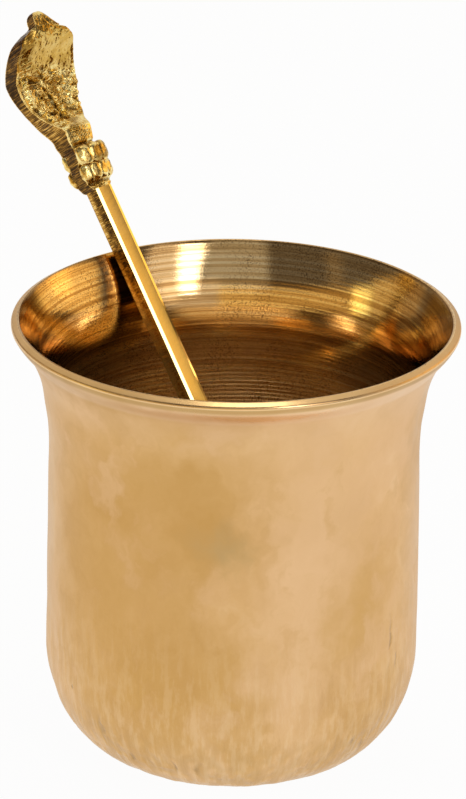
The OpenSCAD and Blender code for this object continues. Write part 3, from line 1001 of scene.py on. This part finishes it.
def build_braze():
    """The rounded drop of braze between the bowl and the shaft."""
    wide, deep, tall = BRAZE_SIZE
    levels = np.linspace(-0.92, 0.92, 15)
    segments = 40
    middle = np.array((0.0, BRAZE_Y, BOWL_D + BRAZE_UP))
    rings = turned_points(np.column_stack((np.sqrt(1.0 - levels**2), levels)), segments)
    points = rings * (wide, deep, tall) + middle
    poles = [middle - (0.0, 0.0, BRAZE_POLE), middle + (0.0, 0.0, BRAZE_POLE)]
    points, face_sets = capped(points, segments, poles)
    braze = make_piece("spoon_braze_fillet", leaned(points), face_sets, [POLISH])
    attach(braze, "spoon")


# The finial, from its rows


def smooth_rows(step):
    """Finial rows every step or so, drawn smoothly through the stations as the part's source does."""
    hidden = (SHAFT_FRONT - FOOT_INSET, SHAFT_TOP_T - 2 * FOOT_INSET, SHAFT_TOP_W - 2 * FOOT_INSET, 0.0, 0.0)
    given = np.array(((0.0, *hidden), (FOOT_HIDDEN - 0.3, *hidden)) + FINIAL_ROWS)
    last = len(given) - 1
    rows = []
    for i in range(last):
        a, b = given[max(i - 1, 0)], given[i]
        c, d = given[i + 1], given[min(i + 2, last)]
        for t in np.linspace(0.0, 1.0, max(2, int((c[0] - b[0]) / step)), endpoint=False):
            bend = a - 2.5 * b + 2 * c - d / 2 + t * (1.5 * (b - c) + (d - a) / 2)
            rows.append(b + t * ((c - a) / 2 + t * bend))
    rows.append(given[last])
    return np.array(rows)


def hood_relief(x, s, run, w):
    """Carved height of the hood's front at sideways place x, height s and way along the front."""
    half = w / 2
    u = x / half
    to_edge = half - np.abs(x)
    above_pad = ease(s, 14.4, 15.6)
    on_hood = above_pad * (1.0 - 0.88 * ease(s, 22.5, 26.0)) * (1.0 - ease(s, 28.6, 29.6))
    wander_x = x + 0.3 * grain(x, run, 0.0, 1.8, 31)
    wander_s = run + 0.3 * grain(x, run, 5.0, 1.8, 32)

    def ridges(size, seed):
        """Narrow winding ridges with flat hollows between them."""
        return np.maximum(-1.2, 1.0 - 3.3 * np.abs(grain(wander_x, wander_s, 0.0, size, seed)))

    # Crumpled casting over the middle and left, quieter on the right
    crumpled = (0.20 * ridges(1.5, 33) + 0.18 * ridges(0.85, 36)) * on_hood
    wrinkled = 0.07 * ridges(0.5, 38) * above_pad
    wrinkled = wrinkled * (1.0 - 0.75 * ease(s, 23.0, 25.0)) * (1.0 - ease(s, 28.8, 29.8))
    height = (crumpled + wrinkled) * (1.0 - 0.5 * ease(u, 0.3, 0.6)) * ease(to_edge, 0.2, 0.7)
    # A smoother strip on the right with slanting ribs
    strip = ease(u, 0.4, 0.6) * on_hood * ease(to_edge, 0.2, 0.6)
    height = height + 0.10 * np.cos(2 * math.pi * (s + 0.5 * x) / 1.35) * strip
    # A winding crevice with a ridge beside it
    along = ease(s, 14.8, 16.0) * (1.0 - ease(s, 24.0, 25.5))
    crevice = np.interp(s, (14.6, 16.6, 19.0, 21.2, 24.0, 26.0), (-0.9, 0.4, 0.7, -0.4, -0.35, -0.8))
    ridge = np.interp(s, (14.6, 16.9, 18.8, 20.7, 23.2, 25.5), (0.6, 1.3, 1.5, 1.8, 0.9, 0.5))
    wobble = 0.35 * grain(0.0, s, 3.0, 0.9, 37)
    height = height + 0.42 * (bump(x, ridge + wobble, 0.42) - bump(x, crevice + wobble, 0.26)) * along
    # Ribs by the left edge, a raised border, and bosses
    ribs = np.cos(2 * math.pi * (s - 0.1 * x) / 0.85)
    by_left = (1.0 - ease(u, -0.62, -0.45)) * ease(s, 20.5, 22.0) * (1.0 - ease(s, 26.0, 27.0))
    height = height + 0.16 * ribs * by_left * ease(to_edge, 0.3, 0.6)
    height = height + 0.25 * bump(to_edge, 0.25, 0.25) * ease(s, 14.0, 15.5) * (1.0 - ease(s, 26.5, 27.5))
    for boss_x, boss_s, wide, high, tall in (
        (1.9, 25.2, 0.75, 0.6, 0.35),
        (-4.2, 20.1, 1.1, 0.9, 0.55),
        (-1.7, 19.1, 1.2, 0.9, 0.55),
        (-2.5, 16.5, 1.0, 0.6, 0.30),
        (-0.4, 29.2, 0.8, 0.7, 0.18),
    ):
        height = height + tall * bump(x, boss_x, wide) * bump(s, boss_s, high)
    rough = grain(x, run, 0.0, 0.45, 34) + 0.6 * grain(x, run, 0.0, 0.24, 35)
    on_dome = ease(s, 23.0, 25.0) * (1.0 - ease(s, 29.6, 30.6))
    return height + rough * (0.03 + 0.04 * on_hood + 0.035 * on_dome)


def knop_relief(x, s, w):
    """Punched dots on the bell-shaped pad, grooves round the knop, and a rough ring at the foot."""
    row = np.floor(s / DOT_PITCH)
    fx = x / DOT_PITCH + 0.5 * (row % 2)
    fx = (fx - np.floor(fx) - 0.5) * DOT_PITCH
    fy = (s / DOT_PITCH - row - 0.5) * DOT_PITCH
    dots = np.exp(-(fx * fx + fy * fy) / 0.03)
    on_pad = ease(s, 10.0, 10.6) * (1.0 - ease(s, 13.0, 13.6)) * (1.0 - ease(np.abs(x) / (w / 2), 0.6, 0.8))
    low = 1.0 - ease(s, 9.6, 10.4)
    rough = grain(x, s, 0.0, 0.42, 41) + 0.5 * grain(x, s, 3.0, 0.2, 42)
    grooves = bump(s, 9.5, 0.35) + bump(s, 5.8, 0.25) + 0.8 * bump(s, 2.2, 0.3)
    return -0.24 * dots * on_pad + 0.09 * rough * low - 0.35 * grooves


def build_finial():
    """The cast cobra hood with its pad and knop: carved front, filed sides and a plain back."""
    rows = smooth_rows(0.095)
    s, front, thick, w, bulge, hump = rows.T[:, :, None]
    u = np.linspace(-1.0, 1.0, 141)
    side = np.linspace(0.0, 1.0, 16)[1:-1]
    back_u = np.linspace(1.0, -1.0, 49)
    x = w / 2 * u
    level = np.broadcast_to(s, x.shape)
    run = np.concatenate(([0.0], np.cumsum(np.hypot(np.diff(rows[:, 0]), np.diff(rows[:, 1])))))
    run = np.broadcast_to(run[:, None], x.shape)
    carved = hood_relief(x, level, run, w) + knop_relief(x, level, w)
    shoulder = ease(level, 24.5, 27.0) * (1.0 - ease(level, 29.8, 30.6))
    rounded = 0.12 * ease(np.abs(u), 0.975, 1.0) + 0.9 * shoulder * (1.0 - ease(u, -1.0, -0.62))
    front_y = -(front + bulge * (1.0 - u * u) + carved - rounded)
    # Lumps along the right edge of the hood
    lumps = 0.28 * np.maximum(0.0, np.cos(2 * math.pi * s / 1.9))
    lumps = lumps * ease(s, 15.2, 16.2) * (1.0 - ease(s, 21.0, 22.0))
    x = x + lumps * ease(u, 0.8, 1.0)
    back_x = w / 2 * back_u + lumps * ease(back_u, 0.8, 1.0)
    back_level = np.broadcast_to(s, back_x.shape)
    back_y = thick - front + 0.4 * bump(s, 25.5, 4.5) + hump * (1.0 - back_u**2)
    back_y = back_y + 0.05 * grain(back_x, back_level, 0.0, 0.9, 51) - 0.12 * ease(np.abs(back_u), 0.96, 1.0)
    # Filed sides: strokes from front to back, a little uneven along the edge
    right_y = front_y[:, -1:] + (back_y[:, :1] - front_y[:, -1:]) * side
    left_y = back_y[:, -1:] + (front_y[:, :1] - back_y[:, -1:]) * side
    side_level = np.broadcast_to(s, right_y.shape)
    stroke = grain(side_level, right_y * 0.1, 0.0, 0.22, 61)
    left_stroke = grain(side_level, left_y * 0.1, 7.0, 0.22, 61)
    uneven = 0.05 * grain(side_level, 0.0, 0.0, 1.1, 62)
    right_x = w / 2 + 0.03 * stroke + uneven + lumps
    left_x = -w / 2 - 0.03 * left_stroke - uneven
    points = np.stack(
        (
            np.concatenate((x, right_x, back_x, left_x), 1),
            np.concatenate((front_y, right_y, back_y, left_y), 1),
            np.concatenate((level, side_level, back_level, side_level), 1) + SHAFT_REACH,
        ),
        -1,
    )
    # The crest on top is high on its left and runs out to the right, and the right shoulder is lower
    over_dome = np.maximum(0.0, points[..., 2] - SHAFT_REACH - CREST_FOOT)
    points[..., 2] += over_dome * (0.30 - 1.2 * ease(points[..., 0], -0.6, 2.6))
    upper = ease(points[..., 2] - SHAFT_REACH, 26.5, 30.2)
    points[..., 2] -= 0.8 * ease(points[..., 0], 0.8, 4.4) * upper
    cols = points.shape[1]
    filed = [1] * (len(side) + 1)
    zone = [0] * (len(u) - 1) + filed + [0] * (len(back_u) - 1) + filed
    points, face_sets = capped(points.reshape(-1, 3), cols, zones=np.tile(zone, len(rows) - 1))
    finial = make_piece("spoon_finial_hood", leaned(points), face_sets, [CAST, FILED])
    # Tarnish in the carved recesses and faint streaks on the dome, darker on the dome's left shoulder, and
    # painted shade on the filed sides
    dome = ease(level, 23.5, 25.5) * (1.0 - ease(level, 30.0, 31.0))
    sunk = ease(-carved, 0.04, 0.36) * 0.78
    sunk = sunk * (1.0 - 0.80 * ease(level, 10.0, 10.6) * (1.0 - ease(level, 13.2, 14.0)))
    sunk = sunk * (1.0 - 0.6 * dome)
    streaks = grain(x, run * 0.06, 0.0, 0.2, 39) + 0.6 * grain(x, run * 0.1, 2.0, 0.5, 40)
    tarnish = np.clip(dome * (0.14 + 0.06 * streaks), 0.0, 1.0)
    tarnish = np.clip(tarnish + 0.4 * shoulder * (1.0 - ease(u, -1.0, -0.35)), 0.0, 0.8)
    # Painted shade of the filed sides by height: darkest from about 20 to 25 mm up, where they reflect the
    # bright floor, less above 26 and more at the neck below 13
    shade = 0.55 + 0.26 * ease(s, 17.5, 20.5) - 0.12 * ease(s, 24.5, 26.0) + 0.16 * (1.0 - ease(s, 9.0, 13.0))
    tarnish_and_painted_light = np.zeros((len(rows), cols))
    tarnish_and_painted_light[:, : len(u)] = sunk + tarnish * (1.0 - sunk)
    tarnish_and_painted_light[:, len(u) : len(u) + len(side)] = np.clip(shade - 0.14 * stroke, 0.0, 1.0)
    tarnish_and_painted_light[:, cols - len(side) :] = np.clip(shade - 0.14 * left_stroke, 0.0, 1.0)
    point_values(finial, "tarnish_and_painted_light", with_poles(tarnish_and_painted_light))
    warm = np.zeros((len(rows), cols))
    warm[:, : len(u)] = dome
    point_values(finial, "warm", with_poles(warm))
    point_values(finial, "local", points * MM, "FLOAT_VECTOR")
    sharpen(finial, 60)
    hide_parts("spoon_finial")
    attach(finial, "spoon")


def petal_rows():
    """A tree that sets a rounded petal on each given point, turned and sized by its point values."""
    tree, given, result = new_tree(
        "petal_rows",
        (
            ("Petal width", "NodeSocketFloat", 0.0033),
            ("Petal height", "NodeSocketFloat", 0.0043),
            ("Petal depth", "NodeSocketFloat", 0.0019),
            ("Unevenness", "NodeSocketFloat", 0.0004),
            ("Finish", "NodeSocketMaterial", None),
        ),
    )
    block = add_node(tree, "GeometryNodeMeshCube", {"Size": (1.0, 1.0, 1.0)}).outputs["Mesh"]
    rounds = {"Mesh": block, "Level": 3, "Edge Crease": 0.12}
    rounded = add_node(tree, "GeometryNodeSubdivisionSurface", rounds).outputs["Mesh"]
    sizes = {"X": given["Petal width"], "Y": given["Petal depth"], "Z": given["Petal height"]}
    size = add_node(tree, "ShaderNodeCombineXYZ", sizes).outputs[0]
    petal = add_node(tree, "GeometryNodeTransform", {"Geometry": rounded, "Scale": size}).outputs[0]
    setting = {
        "Points": given["Geometry"],
        "Instance": petal,
        "Rotation": stored(tree, "turn", "FLOAT_VECTOR"),
        "Scale": stored(tree, "grown"),
    }
    put = add_node(tree, "GeometryNodeInstanceOnPoints", setting).outputs[0]
    real = add_node(tree, "GeometryNodeRealizeInstances", {"Geometry": put}).outputs[0]
    place = add_node(tree, "GeometryNodeInputPosition").outputs[0]
    noise = {"Vector": place, "Scale": 1300.0, "Detail": 1.0}
    lumps = maths(tree, "SUBTRACT", add_node(tree, "ShaderNodeTexNoise", noise).outputs["Fac"], 0.5)
    moved = shifted(tree, real, times(tree, lumps, given["Unevenness"]))
    smooth = {"Geometry": moved, "Shade Smooth": True}
    smooth = add_node(tree, "GeometryNodeSetShadeSmooth", smooth).outputs[0]
    finish = {"Geometry": smooth, "Material": given["Finish"]}
    finish = add_node(tree, "GeometryNodeSetMaterial", finish).outputs[0]
    tree.links.new(finish, result["Geometry"])
    return tree


def build_petals():
    """Two rows of petals round the knop, on its front and on its back."""
    rows = smooth_rows(0.1)
    spots, turns, sizes = [], [], []
    lean_turn = Matrix(LEAN.tolist()).to_3x3().normalized()
    for height, places, size in PETAL_ROWS:
        front, thick, w, bulge, hump = [np.interp(height, rows[:, 0], rows[:, k]) for k in (1, 2, 3, 4, 5)]
        # Front and back of the knop: its edge, how far it bulges, and which way is out
        faces = ((-front, bulge, -1), (thick - front, hump, 1))
        for u in places:
            for middle, swell, out in faces:
                y = middle + out * (swell * (1 - u * u) - PETAL_SUNK)
                spin = -out * math.atan(4 * swell * u / w)
                tilt = math.radians(-out * PETAL_TILT)
                turn = lean_turn @ Matrix.Rotation(spin, 3, "Z") @ Matrix.Rotation(tilt, 3, "X")
                spots.append((u * w / 2, y, height + SHAFT_REACH))
                turns.append(tuple(turn.to_euler("XYZ")))
                sizes.append(size)
    mesh = bpy.data.meshes.new("knop_petals")
    mesh.from_pydata((leaned(np.array(spots)) * MM).tolist(), [], [])
    petals = bpy.data.objects.new("knop_petals", mesh)
    bpy.context.scene.collection.objects.link(petals)
    point_values(petals, "turn", turns, "FLOAT_VECTOR")
    point_values(petals, "grown", sizes)
    grow(petals, petal_rows(), {"Finish": CAST})
    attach(petals, "spoon")


# Studio: floor, light and camera


def build_floor():
    """A plain sheet of white paper that takes the tumbler's shadow."""
    material = bpy.data.materials.new("studio_floor")
    material.use_nodes = True
    tree = material.node_tree
    tree.nodes.clear()
    path = add_node(tree, "ShaderNodeLightPath").outputs
    seen = maths(tree, "MAXIMUM", path["Is Camera Ray"], path["Is Glossy Ray"])
    seen = maths(tree, "MAXIMUM", seen, path["Is Transmission Ray"])
    paper = add_node(tree, "ShaderNodeBsdfDiffuse", {"Color": (0.93, 0.93, 0.92, 1.0)}).outputs[0]
    glow = {"Color": (1.0, 1.0, 1.0, 1.0), "Strength": 1.0}
    white = add_node(tree, "ShaderNodeEmission", glow).outputs[0]
    blend = add_node(tree, "ShaderNodeMixShader", {0: times(tree, seen, 0.96), 1: paper, 2: white})
    out = add_node(tree, "ShaderNodeOutputMaterial")
    tree.links.new(blend.outputs[0], out.inputs["Surface"])
    mesh = bpy.data.meshes.new("studio_floor")
    signs = ((-1, -1), (1, -1), (1, 1), (-1, 1))
    corners = [(x * PAPER_HALF, y * PAPER_HALF, -PAPER_DROP) for x, y in signs]
    mesh.from_pydata(corners, [], [(0, 1, 2, 3)])
    mesh.materials.append(material)
    floor = bpy.data.objects.new("studio_floor", mesh)
    bpy.context.scene.collection.objects.link(floor)


def softbox(name, azimuth, elevation, wide, tall, level):
    """A rectangular lamp of even brightness, aimed at the tumbler's mouth."""
    lamp = bpy.data.lights.new(name, "AREA")
    lamp.shape = "RECTANGLE"
    lamp.size, lamp.size_y = wide, tall
    lamp.energy = level * math.pi * wide * tall
    thing = bpy.data.objects.new(name, lamp)
    aim = Vector((0.0, 0.0, LAMP_AIM_Z))
    thing.location = aim + photo_way(azimuth, elevation) * LAMP_FAR
    thing.rotation_euler = (aim - thing.location).to_track_quat("-Z", "Y").to_euler()
    bpy.context.scene.collection.objects.link(thing)


def build_light():
    """A dim room with lit panels and a bright ceiling behind, one tall window lamp and one lamp overhead."""
    world = bpy.data.worlds.new("studio")
    bpy.context.scene.world = world
    world.use_nodes = True
    tree = world.node_tree
    way = add_node(tree, "ShaderNodeTexCoord").outputs["Generated"]
    ahead, right, high = (
        vectors(tree, "DOT_PRODUCT", way, tuple(photo_way(*degrees)))
        for degrees in ((0.0, 0.0), (90.0, 0.0), CEILING_WAY)
    )
    turn = maths(tree, "DEGREES", maths(tree, "ARCTAN2", right, ahead))
    rise = maths(tree, "DEGREES", maths(tree, "ARCSINE", upright(tree, way)))
    walls = mixed(tree, spread(tree, ahead, -0.52, -0.68), FRONT_WALLS, BACK_WALLS)
    light = mixed(tree, spread(tree, high, 0.60, 0.74), walls, CEILING)
    for azimuth, elevation, wide, tall, soft, colour in ROOM_PANELS:
        off_turn = maths(tree, "ABSOLUTE", maths(tree, "SUBTRACT", turn, azimuth))
        off_rise = maths(tree, "ABSOLUTE", maths(tree, "SUBTRACT", rise, elevation))
        across = spread(tree, off_turn, wide, wide + soft, 1.0, 0.0)
        glow = times(tree, across, spread(tree, off_rise, tall, tall + soft, 1.0, 0.0))
        light = vectors(tree, "ADD", light, vectors(tree, "SCALE", colour, glow))
    tree.links.new(light, tree.nodes["Background"].inputs["Color"])
    softbox("window_light", 30.5, 36.8, 0.205, 0.68, 3.5)
    softbox("top_light", 90.0, 87.0, 0.26, 0.39, 2.6)


def build_camera():
    """The camera, aimed a little off the tumbler's axis as the photograph is."""
    view = bpy.data.cameras.new("photo_camera")
    view.sensor_fit = "VERTICAL"
    view.sensor_height = CAMERA_SENSOR
    view.lens = CAMERA_LENS
    view.clip_start, view.clip_end = 0.01, 20.0
    camera = bpy.data.objects.new("photo_camera", view)
    bpy.context.scene.collection.objects.link(camera)
    at = Vector((0.0, 0.0, CAMERA_AIM_Z)) + photo_way(0.0, CAMERA_RISE) * CAMERA_FAR
    pitch = math.pi / 2 - math.radians(CAMERA_RISE) - math.atan(PIXELS_DOWN / FOCAL_PIXELS)
    yaw = math.radians(CAMERA_TURN) + math.atan(PIXELS_ASIDE / FOCAL_PIXELS)
    turn = Matrix.Rotation(yaw, 4, "Z") @ Matrix.Rotation(pitch, 4, "X")
    turn = turn @ Matrix.Rotation(math.radians(CAMERA_ROLL), 4, "Z")
    camera.matrix_world = Matrix.Translation(at) @ turn
    bpy.context.scene.camera = camera


build_tumbler()
build_shaft()
build_bowl()
build_braze()
build_finial()
build_petals()
build_floor()
build_light()
build_camera()
bpy.context.scene.view_settings.view_transform = "Standard"
